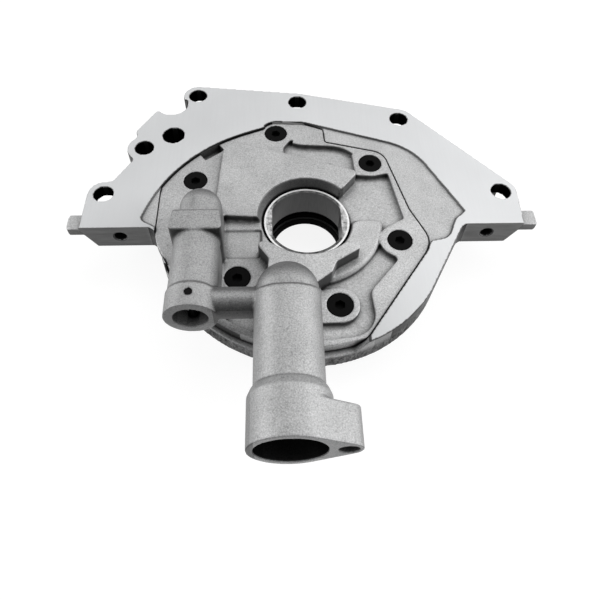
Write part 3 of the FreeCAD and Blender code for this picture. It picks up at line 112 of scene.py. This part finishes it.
# Material graphs
class Graph:
    """A material's node tree, with short calls for the nodes used here."""

    def __init__(self, name):
        self.material = bpy.data.materials.new(name)
        self.material.use_nodes = True
        self.tree = self.material.node_tree
        self.tree.nodes.clear()
        self.out = self.tree.nodes.new("ShaderNodeOutputMaterial")
        self.shader = self.tree.nodes.new("ShaderNodeBsdfPrincipled")
        self.link(self.shader.outputs[0], self.out.inputs["Surface"])
        self.place = self.tree.nodes.new("ShaderNodeTexCoord").outputs["Object"]

    def link(self, source, target):
        self.tree.links.new(source, target)

    def put(self, socket, value):
        if isinstance(value, bpy.types.NodeSocket):
            self.link(value, socket)
        else:
            socket.default_value = value

    def math(self, operation, a, b=0.0, clamp=False):
        node = self.tree.nodes.new("ShaderNodeMath")
        node.operation = operation
        node.use_clamp = clamp
        self.put(node.inputs[0], a)
        self.put(node.inputs[1], b)
        return node.outputs[0]

    def times(self, product, *factors):
        for factor in factors:
            product = self.math("MULTIPLY", product, factor)
        return product

    def rest(self, share):
        """What the share leaves of 1."""
        return self.math("SUBTRACT", 1.0, share)

    def above(self, value, limit):
        return self.math("GREATER_THAN", value, limit)

    def below(self, value, limit):
        return self.math("LESS_THAN", value, limit)

    def spread(self, value, low, high, out_low=0.0, out_high=1.0):
        """The value's run from low to high, moved to another run and kept inside it."""
        node = self.tree.nodes.new("ShaderNodeMapRange")
        for socket, item in zip(node.inputs, (value, low, high, out_low, out_high)):
            self.put(socket, item)
        return node.outputs[0]

    def varied(self, noise, low, high, edge=0.25):
        """The middle of a noise's run, spread from low to high."""
        return self.spread(noise, edge, 1.0 - edge, low, high)

    def toned(self, where, tone):
        """The tone where it is asked for, and 1 elsewhere."""
        return self.spread(where, 0.0, 1.0, 1.0, tone)

    def noise(self, scale, detail, rough, stretch=None):
        node = self.tree.nodes.new("ShaderNodeTexNoise")
        place = self.place
        if stretch:
            mapping = self.tree.nodes.new("ShaderNodeMapping")
            mapping.inputs["Scale"].default_value = stretch
            self.link(place, mapping.inputs["Vector"])
            place = mapping.outputs[0]
        self.link(place, node.inputs["Vector"])
        node.inputs["Scale"].default_value = scale
        node.inputs["Detail"].default_value = detail
        node.inputs["Roughness"].default_value = rough
        return node.outputs["Fac"]

    def parts(self, source):
        node = self.tree.nodes.new("ShaderNodeSeparateXYZ")
        self.link(source, node.inputs[0])
        return node.outputs

    def facing(self):
        """The surface normal as x, y and z."""
        return self.parts(self.tree.nodes.new("ShaderNodeNewGeometry").outputs["Normal"])

    def from_axis(self):
        """Distance from the crank's axis."""
        x, y, _ = self.parts(self.place)
        return self.math("SQRT", self.math("ADD", self.times(x, x), self.times(y, y)))

    def to_the_right(self):
        """Grows towards the right of the inlet's mouth."""
        x, y, _ = self.parts(self.place)
        return self.math("SUBTRACT", x, y)

    def stored(self, name):
        """A value kept on the mesh's points."""
        node = self.tree.nodes.new("ShaderNodeAttribute")
        node.attribute_name = name
        return node.outputs["Fac"]

    def nearness(self, reach):
        """1 in the open, lower beside a wall nearer than the reach."""
        node = self.tree.nodes.new("ShaderNodeAmbientOcclusion")
        node.samples = 8
        node.inputs["Distance"].default_value = reach
        return node.outputs["AO"]

    def mix(self, share, a, b):
        """From colour a to colour b."""
        node = self.tree.nodes.new("ShaderNodeMix")
        node.data_type = "RGBA"
        self.put(node.inputs[0], share)
        self.put(node.inputs[6], a)
        self.put(node.inputs[7], b)
        return node.outputs[2]

    def blend(self, share, a, b):
        """From value a to value b."""
        node = self.tree.nodes.new("ShaderNodeMix")
        self.put(node.inputs[0], share)
        self.put(node.inputs[2], a)
        self.put(node.inputs[3], b)
        return node.outputs[0]

    def scaled(self, colour, factor):
        node = self.tree.nodes.new("ShaderNodeVectorMath")
        node.operation = "SCALE"
        self.put(node.inputs[0], colour if isinstance(colour, bpy.types.NodeSocket) else colour[:3])
        self.put(node.inputs["Scale"], factor)
        return node.outputs[0]

    def bump(self, height, distance, strength):
        node = self.tree.nodes.new("ShaderNodeBump")
        node.inputs["Distance"].default_value = distance
        self.put(node.inputs["Strength"], strength)
        self.link(height, node.inputs["Height"])
        self.link(node.outputs[0], self.shader.inputs["Normal"])

    def sheen(self, value):
        self.put(self.shader.inputs["Specular IOR Level"], value)

    def finish(self, colour, roughness, metallic):
        self.put(self.shader.inputs["Base Color"], colour)
        self.put(self.shader.inputs["Roughness"], roughness)
        self.put(self.shader.inputs["Metallic"], metallic)
        return self.material


def grey(value, warm=0.0):
    return (value * (1 + warm), value, value * (1 - warm), 1.0)


# Die-cast skin
def shade_and_tone_by_place(g, end_face):
    """Painted shade on the hub's wall, on faces turned back, on the relief's end and under the
    cross tube;
    the relief and the elbow are only darker than the rest of the skin.
    """
    x, y, z = g.parts(g.place)
    _, ny, nz = g.facing()
    raised = g.above(z, RAISED_Z)
    hub_wall = g.times(g.below(g.from_axis(), HUB_WALL_RADIUS), g.below(nz, 0.93))
    behind = g.times(raised, g.spread(ny, 0.02, 0.45), g.spread(y, *SLEEVE_END_Y, 0.25, 0.6))
    relief_end = g.times(end_face, g.above(y, RELIEF_END_Y))
    relief = g.times(raised, g.below(x, RELIEF_EDGE_X))
    left, right = CROSS_TUBE_X
    cross_tube = g.times(g.above(x, left), g.below(x, right), g.above(z, CROSS_TUBE_BOTTOM),
                         g.below(y, CROSS_TUBE_BACK_Y))
    underside = g.times(cross_tube, g.spread(ny, -0.1, -0.7, 0.0, UNDERSIDE_SHADE))
    leaning_y = g.math("ADD", y, g.times(z, ELBOW_SEAM_LEAN))
    elbow = g.times(raised, g.above(x, RELIEF_EDGE_X), g.above(leaning_y, ELBOW_SEAM))
    return g.times(g.toned(hub_wall, HUB_WALL_SHADE), g.rest(behind),
                   g.toned(relief_end, RELIEF_END_SHADE), g.toned(relief, RELIEF_TONE),
                   g.rest(underside), g.toned(elbow, ELBOW_TONE))


def crease_shade_edge_wear_and_highlight(g):
    """Painted shade in a crease and close beside a wall; an edge lighter, partly from wear and
    partly a painted highlight.
    """
    crease = g.stored("crease")
    return g.times(g.spread(crease, 0.04, 0.3, 1.0, 0.25),
                   g.spread(crease, -0.15, -0.5, 1.0, 1.25),
                   g.spread(g.nearness(3.5 * MM), 0.5, 0.9, 0.3, 1.0),
                   g.spread(g.nearness(1.2 * MM), 0.5, 0.88, 0.25, 1.0))


def cast_skin(g, tone):
    """Blasted die-cast skin: fine bright speckle over a slow, cloudy tone. Painted shade lies
    in the creases, on the flanks, on front faces and down holes, and the raised edges are lighter,
    partly from wear and partly a painted highlight."""
    speck = g.noise(scale=1900.0, detail=3.0, rough=0.7)
    cloud = g.noise(scale=70.0, detail=4.0, rough=0.6)
    pits = g.noise(scale=620.0, detail=2.0, rough=0.5)
    grain = g.math("ADD", g.varied(speck, 0.52, 1.48), g.varied(cloud, -0.1, 0.1, edge=0.3))
    grain = g.math("ADD", grain, g.spread(pits, 0.62, 0.76, 0.0, -0.2))
    _, y, _ = g.parts(g.place)
    _, ny, nz = g.facing()
    end_face = g.times(g.below(ny, -0.8), g.below(y, END_FACES_Y))
    flank = g.spread(nz, 0.72, 0.0, 0.0, FLANK_SHADE)
    front = g.spread(ny, -0.25, -0.85, 0.0, FRONT_SHADE)
    shade = g.math("SUBTRACT", g.math("ADD", flank, front), end_face, clamp=True)
    inside = g.stored("inside")
    # Painted shade on flanks, front faces, single forms, creases and holes, and painted highlights
    # on edges, over the grain
    level = g.times(grain, g.rest(shade), shade_and_tone_by_place(g, end_face), crease_shade_edge_wear_and_highlight(g),
                    g.toned(inside, HOLE_SHADE))
    sheen = g.times(g.spread(shade, 0.1, 0.8, 0.4, 0.05), g.spread(inside, 0.0, 0.8, 1.0, 0.0))
    return g.scaled(grey(tone, -0.004), level), speck, pits, sheen


def skin_height(g, speck, pits):
    return g.math("ADD", speck, g.times(pits, 0.8))


def matt_where_deep(g, metallic):
    """No metal sheen down a hole."""
    return g.times(g.spread(g.stored("inside"), 0.0, 0.8, 1.0, 0.0), metallic)


def cover_material():
    g = Graph("cover_casting")
    colour, speck, pits, sheen = cast_skin(g, 0.46)
    _, _, z = g.parts(g.place)
    # Painted light: the skin grows lighter towards the right, as the light falls from there; raised
    # forms keep one level
    painted_light_rightward = g.spread(g.to_the_right(), *COVER_LIGHT_RUN, 0.98, 1.2)
    colour = g.scaled(colour, g.blend(g.above(z, FLAT_FACES_TOP), painted_light_rightward, 0.94))
    g.sheen(sheen)
    g.bump(skin_height(g, speck, pits), SKIN_BUMP, 0.5)
    return g.finish(colour, g.varied(speck, 0.42, 0.58, edge=0.3), matt_where_deep(g, METAL_SHEEN))


def body_material():
    """Milled mounting and sump faces, blasted skin elsewhere, coarse at the front rim."""
    g = Graph("body_casting")
    _, y, z = g.parts(g.place)
    _, ny, nz = g.facing()
    skin, speck, pits, sheen = cast_skin(g, 0.52)
    milled = g.times(g.above(nz, 0.96), g.above(z, MILLED_BOTTOM))
    sump = g.times(g.below(ny, -0.97), g.above(y, SUMP_FACES_Y))

    passes = g.noise(scale=900.0, detail=2.0, rough=0.6, stretch=(1.0, 0.04, 1.0))
    smear = g.noise(scale=24.0, detail=2.0, rough=0.5)
    bright = g.math("ADD", g.varied(passes, 0.985, 1.015, edge=0.2),
                    g.varied(smear, -0.035, 0.035, edge=0.3))
    # Painted light: the milled face grows lighter towards the right, as the light falls from there
    bright = g.times(bright, g.spread(g.to_the_right(), *FACE_LIGHT_RUN, 0.93, 1.18))
    face = g.scaled(grey(0.66, -0.012), bright)
    streaks = g.noise(scale=1500.0, detail=2.0, rough=0.6, stretch=(0.05, 1.0, 0.35))
    sump_face = g.scaled(grey(0.46), g.varied(streaks, 0.82, 1.18))

    coarse = g.noise(scale=700.0, detail=3.0, rough=0.75, stretch=(1.0, 1.0, 0.45))
    upright = g.math("SUBTRACT", 1.0, g.math("ABSOLUTE", nz), clamp=True)
    rim = g.times(g.spread(upright, 0.4, 0.7), g.spread(z, *RIM_Z))
    sawn = g.spread(y, *SAWN_Y)
    rim_grain = g.blend(sawn, g.varied(coarse, 1.2, 1.9, edge=0.3),
                        g.spread(coarse, 0.38, 0.64, 0.1, 2.1))
    # Painted shade: the low step beside the milled face is darkened to a dark line
    step = g.times(g.below(nz, 0.9), g.above(z, STEP_BOTTOM), g.below(z, STEP_TOP))

    colour = g.mix(rim, skin, g.scaled(grey(0.1), rim_grain))
    colour = g.scaled(colour, g.toned(step, STEP_SHADE))
    colour = g.mix(sump, colour, sump_face)
    colour = g.mix(milled, colour, face)
    # Painted shade down the holes and bores
    colour = g.scaled(colour, g.toned(g.stored("inside"), HOLE_SHADE))
    flat_cut = g.math("MAXIMUM", milled, sump)
    g.sheen(g.blend(flat_cut, sheen, 0.0))
    height = g.math("ADD", skin_height(g, speck, pits), g.times(coarse, rim, sawn, 3.5))
    g.bump(height, SKIN_BUMP, g.blend(flat_cut, 0.5, 0.03))
    rough = g.blend(flat_cut, g.varied(speck, 0.5, 0.66, edge=0.3), 0.4)
    return g.finish(colour, rough, matt_where_deep(g, g.blend(flat_cut, METAL_SHEEN, 0.0)))


# Steel, black screws and rubber
def steel_material(name, tone, roughness, metallic=0.9, sheen=0.5):
    g = Graph(name)
    lines = g.noise(scale=2400.0, detail=2.0, rough=0.6, stretch=(1.0, 1.0, 8.0))
    colour = g.scaled(grey(tone), g.varied(lines, 0.88, 1.12))
    g.sheen(sheen)
    g.bump(lines, STEEL_BUMP, 0.3)
    return g.finish(colour, g.varied(lines, roughness - 0.05, roughness + 0.05, edge=0.3), metallic)


def rotor_material():
    """Dark sintered steel. The hub's face has a bright ring, partly from wear and partly a painted
    highlight, and painted glints by the bore's flats.
    """
    g = Graph("rotor_steel")
    x, _, z = g.parts(g.place)
    _, _, nz = g.facing()
    lines = g.noise(scale=2000.0, detail=2.0, rough=0.6, stretch=(1.0, 1.0, 0.1))
    top = g.times(g.above(nz, 0.9), g.above(z, ROTOR_FACE_BOTTOM))
    dark = g.scaled(grey(0.075), g.varied(lines, 0.85, 1.15))
    # Painted glints, mottled, lighten the hub's face towards the flats; the outer ring is partly
    # wear and partly a painted highlight
    by_flat = g.spread(g.math("ABSOLUTE", x), *BORE_FLAT_X, 0.07, 0.34)
    mottle = g.spread(g.noise(scale=420.0, detail=3.0, rough=0.7), 0.35, 0.62, 0.35, 1.7)
    ring = g.spread(g.from_axis(), *HUB_RING_RADIUS)
    wear_and_highlight = g.blend(ring, g.times(by_flat, mottle), 0.75)
    bright = g.scaled(grey(1.0), g.times(wear_and_highlight, g.varied(lines, 0.8, 1.2)))
    g.bump(lines, STEEL_BUMP, 0.3)
    return g.finish(g.mix(top, dark, bright), 0.42, 0.6)


def black_material(name, grain, bump, sheen, roughest):
    """Blackened or rubber surface, nearly without shine."""
    g = Graph(name)
    fine = g.noise(scale=grain, detail=3.0, rough=0.6)
    colour = g.scaled(grey(0.004), g.spread(fine, 0.3, 0.75, 0.7, 1.5))
    g.sheen(sheen)
    g.bump(fine, BLACK_BUMP, bump)
    return g.finish(colour, g.varied(fine, 0.5, roughest, edge=0.3), 0.0)


MATERIALS = {
    "body_casting": body_material(),
    "cover_casting": cover_material(),
    "rotor_steel": rotor_material(),
    "screw_black": black_material("screw_black", grain=1800.0, bump=0.3, sheen=0.05, roughest=0.62),
    # The pale, nearly matt tone is a painted light for the seat down the relief bore
    "plunger_steel": steel_material("plunger_steel", tone=0.85, roughness=0.5, metallic=0.1),
    "spring_steel": steel_material("spring_steel", tone=0.012, roughness=0.5, metallic=0.3),
    "pin_steel": steel_material("pin_steel", tone=0.006, roughness=0.5, metallic=0.0, sheen=0.05),
    "seal_steel": steel_material("seal_steel", tone=0.35, roughness=0.35),
    "seal_rubber": black_material("seal_rubber", grain=1500.0, bump=0.4, sheen=0.08, roughest=0.66),
}

for name, node in NODES.items():
    node.data.materials.clear()
    node.data.materials.append(MATERIALS[SLOTS[name]])


# Where a casting's surface lies down a hole or in a deep recess, in millimetres.
# Upright holes are x, y and radius. Level bores are x, z, radius, the y of the mouth and of
# the end, and how dark the mouth is. The pin's hole is x, y, radius, lowest and highest z.
FLANGE_HOLE = 4.5
PORT_HOLE = 5.3
SUMP_HOLE = 2.55
UPRIGHT_HOLES = [(-53.8, 82.2, FLANGE_HOLE), (-2.2, 77.0, FLANGE_HOLE), (-77.1, 44.6, FLANGE_HOLE),
                 (-92.1, 15.5, FLANGE_HOLE), (49.1, 63.9, FLANGE_HOLE), (90.8, 14.9, FLANGE_HOLE),
                 (-63.8, 53.2, PORT_HOLE)]
SCREW_SEATS = [(-13.5, 55.3), (-51.2, 24.3), (31.7, 34.5), (40.4, -11.6), (11.9, -43.7),
               (-30.1, -30.0)]
SCREW_SEAT_RADIUS = 5.65
LEVEL_BORES = [(-9.6, 15.5, 12.2, -107.0, -88.5, 0.9), (-9.6, 15.5, 9.6, -107.0, -52.5, 0.9),
               (-45.6, 13.0, 6.5, -57.0, -13.5, 0.4), (9.2, 15.5, 3.4, -107.0, -94.0, 0.7),
               (-83.1, -6.75, SUMP_HOLE, -4.0, 8.5, 0.7), (81.8, -6.75, SUMP_HOLE, -4.0, 8.5, 0.7)]
PIN_HOLE = (-45.6, -51.2, 1.6, 19.6, 23.15)
HOLE_MARGIN = 0.35
BORE_MARGIN = 0.3
EDGE_DEPTH = 0.4
SEAT_DEPTH = 1.5
DARKENING_RUN = 8.0


def depth_mark(place):
    """0 in the open, 1 where next to no light comes in."""
    x, y, z = (value / MM for value in place)
    for hole_x, hole_y, radius in UPRIGHT_HOLES:
        if math.hypot(x - hole_x, y - hole_y) < radius + HOLE_MARGIN and z < -EDGE_DEPTH:
            return 1.0
    for seat_x, seat_y in SCREW_SEATS:
        if math.hypot(x - seat_x, y - seat_y) < SCREW_SEAT_RADIUS and z < -SEAT_DEPTH:
            return 1.0
    for hole_x, hole_z, radius, mouth, end, start in LEVEL_BORES:
        in_bore = math.hypot(x - hole_x, z - hole_z) < radius + BORE_MARGIN
        if in_bore and mouth + EDGE_DEPTH < y < end:
            return min(1.0, start + (y - mouth) / DARKENING_RUN)
    pin_x, pin_y, pin_radius, low, high = PIN_HOLE
    if math.hypot(x - pin_x, y - pin_y) < pin_radius and low < z < high:
        return 1.0
    return 0.0


CREASE_SPREADS = 2
CREASE_GAIN = 2.0


def crease_marks(mesh):
    """How far each point lies below its neighbours, above 0 in a crease and below 0 on an
    edge, evened out over the points beside it."""
    count = len(mesh.vertices)
    places = numpy.empty(count * 3)
    mesh.vertices.foreach_get("co", places)
    places = places.reshape(-1, 3)
    normals = numpy.empty(count * 3)
    mesh.vertices.foreach_get("normal", normals)
    normals = normals.reshape(-1, 3)
    edges = numpy.empty(len(mesh.edges) * 2, dtype=numpy.int64)
    mesh.edges.foreach_get("vertices", edges)
    first, second = edges.reshape(-1, 2).T
    run = places[second] - places[first]
    run /= numpy.maximum(numpy.linalg.norm(run, axis=1), 1e-9)[:, None]
    both = numpy.concatenate([first, second])
    beside = numpy.concatenate([second, first])
    rise = numpy.concatenate([(run * normals[first]).sum(axis=1),
                              -(run * normals[second]).sum(axis=1)])
    shares = numpy.maximum(numpy.bincount(both, minlength=count), 1)
    marks = numpy.bincount(both, weights=rise, minlength=count) / shares
    for _ in range(CREASE_SPREADS):
        near = numpy.bincount(both, weights=marks[beside], minlength=count) / shares
        marks = 0.5 * marks + 0.5 * near
    return marks * CREASE_GAIN


# Castings: the solid's edges are blunted as a casting's are
VOXELS = {"pump_body": 0.5 * MM, "pump_cover": 0.45 * MM}
SMOOTHING_ROUNDS = 3
KEPT_FACES = 0.25
SAME_POINT = 1e-6


def blunted(piece, voxel):
    """The piece's mesh after it is joined, rounded and thinned out."""
    bm = bmesh.new()
    bm.from_mesh(piece.data)
    bmesh.ops.remove_doubles(bm, verts=bm.verts, dist=SAME_POINT)
    bm.to_mesh(piece.data)
    bm.free()
    remesh = piece.modifiers.new("remesh", "REMESH")
    remesh.mode = "VOXEL"
    remesh.voxel_size = voxel
    smooth = piece.modifiers.new("smooth", "SMOOTH")
    smooth.factor = 0.5
    smooth.iterations = SMOOTHING_ROUNDS
    fewer = piece.modifiers.new("fewer", "DECIMATE")
    fewer.ratio = KEPT_FACES
    graph = bpy.context.evaluated_depsgraph_get()
    mesh = bpy.data.meshes.new_from_object(piece.evaluated_get(graph))
    piece.modifiers.clear()
    return mesh


def casting(node, voxel):
    piece = bpy.data.objects.new(node + "_casting", NODES[node].data.copy())
    bpy.context.scene.collection.objects.link(piece)
    mesh = blunted(piece, voxel)
    piece.data = mesh
    mesh.name = node + "_casting"
    mesh.materials.clear()
    mesh.materials.append(MATERIALS[SLOTS[node]])
    for polygon in mesh.polygons:
        polygon.use_smooth = True
    marks = mesh.attributes.new("inside", "FLOAT", "POINT")
    marks.data.foreach_set("value", [depth_mark(vertex.co) for vertex in mesh.vertices])
    creases = mesh.attributes.new("crease", "FLOAT", "POINT")
    creases.data.foreach_set("value", crease_marks(mesh))
    weighted = piece.modifiers.new("weighted", "WEIGHTED_NORMAL")
    weighted.keep_sharp = False
    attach(piece, HOUSING)
    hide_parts(node)


for name, voxel in VOXELS.items():
    casting(name, voxel)


# Floor, light and camera
FLOOR_GAP = 0.1 * MM
FLOOR_REACH = 12.0
FLOOR_RETURN = 0.16
FLOOR_GLOW = 1.1
GLOW_SHARE = 0.8
SKY_LIGHT = 0.272


def floor_material():
    """A white floor that keeps the shadow. It looks white, and sends less light back up."""
    g = Graph("floor")
    tree = g.tree
    path = tree.nodes.new("ShaderNodeLightPath")
    seen = g.math("MAXIMUM", path.outputs["Is Camera Ray"],
                  g.math("MAXIMUM", path.outputs["Is Glossy Ray"],
                         path.outputs["Is Transmission Ray"]))
    plain = tree.nodes.new("ShaderNodeBsdfDiffuse")
    plain.inputs["Color"].default_value = grey(FLOOR_RETURN)
    white = tree.nodes.new("ShaderNodeBsdfDiffuse")
    white.inputs["Color"].default_value = grey(1.0)
    glow = tree.nodes.new("ShaderNodeEmission")
    glow.inputs["Strength"].default_value = FLOOR_GLOW
    lit = tree.nodes.new("ShaderNodeMixShader")
    lit.inputs[0].default_value = GLOW_SHARE
    g.link(white.outputs[0], lit.inputs[1])
    g.link(glow.outputs[0], lit.inputs[2])
    both = tree.nodes.new("ShaderNodeMixShader")
    g.link(seen, both.inputs[0])
    g.link(plain.outputs[0], both.inputs[1])
    g.link(lit.outputs[0], both.inputs[2])
    g.link(both.outputs[0], g.out.inputs["Surface"])
    tree.nodes.remove(g.shader)
    return g.material


def make_floor(level, reach):
    mesh = bpy.data.meshes.new("floor")
    corners = [(-reach, -reach, level), (reach, -reach, level), (reach, reach, level),
               (-reach, reach, level)]
    mesh.from_pydata(corners, [], [(0, 1, 2, 3)])
    floor = bpy.data.objects.new("floor", mesh)
    bpy.context.scene.collection.objects.link(floor)
    mesh.materials.append(floor_material())


# Area lights, all aimed at the crank's axis: name, place, width, height and watts
LIGHTS = [("top_light", (0.18, 0.5, 0.85), 1.2, 0.6, 4.0),
          ("left_light", (-0.9, 0.1, 0.42), 0.9, 0.6, 6.0),
          ("right_light", (0.9, 0.05, 0.46), 0.9, 0.6, 7.0)]


def area_light(name, place, width, height, watts):
    data = bpy.data.lights.new(name, "AREA")
    data.shape = "RECTANGLE"
    data.size = width
    data.size_y = height
    data.energy = watts
    lamp = bpy.data.objects.new(name, data)
    bpy.context.scene.collection.objects.link(lamp)
    lamp.location = place
    lamp.rotation_mode = "QUATERNION"
    lamp.rotation_quaternion = (-Vector(place)).to_track_quat("-Z", "Y")


def make_world(strength):
    """Soft light from all round that looks white to the camera."""
    world = bpy.data.worlds.new("studio")
    bpy.context.scene.world = world
    world.use_nodes = True
    tree = world.node_tree
    tree.nodes.clear()
    out = tree.nodes.new("ShaderNodeOutputWorld")
    glow = tree.nodes.new("ShaderNodeBackground")
    glow.inputs["Color"].default_value = grey(1.0)
    path = tree.nodes.new("ShaderNodeLightPath")
    level = tree.nodes.new("ShaderNodeMapRange")
    seen = tree.nodes.new("ShaderNodeMath")
    seen.operation = "MAXIMUM"
    tree.links.new(path.outputs["Is Camera Ray"], seen.inputs[0])
    tree.links.new(path.outputs["Is Transmission Ray"], seen.inputs[1])
    tree.links.new(seen.outputs[0], level.inputs["Value"])
    level.inputs["To Min"].default_value = strength
    level.inputs["To Max"].default_value = 1.0
    tree.links.new(level.outputs[0], glow.inputs["Strength"])
    tree.links.new(glow.outputs[0], out.inputs["Surface"])


# The photograph's camera, in pixels of its 600 pixel square and in metres
PICTURE_PIXELS = 600.0
FOCAL_PIXELS = 593.7
SHIFT_PIXELS = -50.0
SENSOR_WIDTH = 36.0
CAMERA_PLACE = (-0.0125, -0.1642, 0.2071)
CAMERA_RIGHT = (0.99931, -0.03059, 0.02109)
CAMERA_UP = (0.01273, 0.81517, 0.57901)


def make_camera():
    data = bpy.data.cameras.new("camera")
    data.sensor_width = SENSOR_WIDTH
    data.lens = FOCAL_PIXELS / PICTURE_PIXELS * SENSOR_WIDTH
    data.shift_y = SHIFT_PIXELS / PICTURE_PIXELS
    data.clip_start = 0.01
    data.clip_end = 20.0
    camera = bpy.data.objects.new("camera", data)
    bpy.context.scene.collection.objects.link(camera)
    right = Vector(CAMERA_RIGHT).normalized()
    back = right.cross(Vector(CAMERA_UP)).normalized()
    turn = Matrix((right, back.cross(right), back)).transposed()
    camera.matrix_world = Matrix.Translation(CAMERA_PLACE) @ turn.to_4x4()
    bpy.context.scene.camera = camera


make_floor(cad_box[0].z - FLOOR_GAP, FLOOR_REACH)
make_world(SKY_LIGHT)
for light in LIGHTS:
    area_light(*light)
make_camera()
bpy.context.scene.view_settings.view_transform = "Standard"
